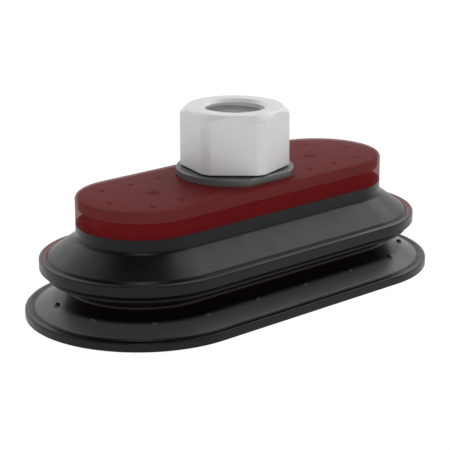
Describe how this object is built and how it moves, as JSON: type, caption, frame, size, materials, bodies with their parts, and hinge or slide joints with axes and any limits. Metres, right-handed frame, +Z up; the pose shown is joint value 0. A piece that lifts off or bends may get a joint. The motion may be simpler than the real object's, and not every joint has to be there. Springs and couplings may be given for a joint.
{
  "type": "vacuum suction cup",
  "caption": "Oval bellows vacuum suction cup with a soft black lip and fold, a translucent red upper body over a metal insert, and a threaded hexagon fitting.",
  "frame": {"origin": "middle of the sealing plane under the lip, on the axis of the threaded fitting", "axes": "+X along the cup's long side, +Y across it, +Z up out of the threaded fitting"},
  "size_m": [0.09, 0.044, 0.0356],
  "materials": {
    "fitting_aluminium": "satin anodised, natural silver, fine turning marks on the chamfers and a light bead-blast on the flats",
    "washer_rubber": "matt black rubber-faced washer",
    "insert_aluminium": "plain milled aluminium, a little darker than the fitting",
    "filter_steel": "fine stainless mesh",
    "clip_steel": "plain spring steel",
    "red_polyurethane": "translucent deep red cast polyurethane, smooth, slightly glossy",
    "black_polyurethane": "soft satin black polyurethane with a deep red tint in thin edges"
  },
  "bodies": {
    "root": {"hex_fitting": "fitting_aluminium", "sealing_washer": "washer_rubber", "insert_plate": "insert_aluminium", "filter_mesh": "filter_steel", "filter_clip": "clip_steel", "upper_body": "red_polyurethane", "neck_ring": "black_polyurethane", "upper_bellows_wall": "black_polyurethane"},
    "fold": {"fold_ring": "black_polyurethane", "lower_bellows_wall": "black_polyurethane"},
    "waist": {"waist_ring": "black_polyurethane", "lip_web": "black_polyurethane"},
    "lip": {"lip_rim": "black_polyurethane"}
  },
  "joints": [
    {"name": "fold_stroke", "type": "slide", "parent": "root", "child": "fold", "axis": [0, 0, 1], "range_m": [0, 0.004], "stiffness_N_per_m": 800, "deforming": ["upper_bellows_wall"]},
    {"name": "waist_stroke", "type": "slide", "parent": "fold", "child": "waist", "axis": [0, 0, 1], "range_m": [0, 0.002], "stiffness_N_per_m": 800, "deforming": ["lower_bellows_wall"]},
    {"name": "lip_pitch", "type": "hinge", "parent": "waist", "child": "lip", "pos_m": [0, 0, 0.0035], "axis": [0, 1, 0], "range_deg": [-2, 2], "stiffness_Nm_per_rad": 1, "deforming": ["lip_web"]}
  ],
  "couplings": [
    {"joint": "waist_stroke", "follows": "fold_stroke", "ratio": 0.5}
  ]
}
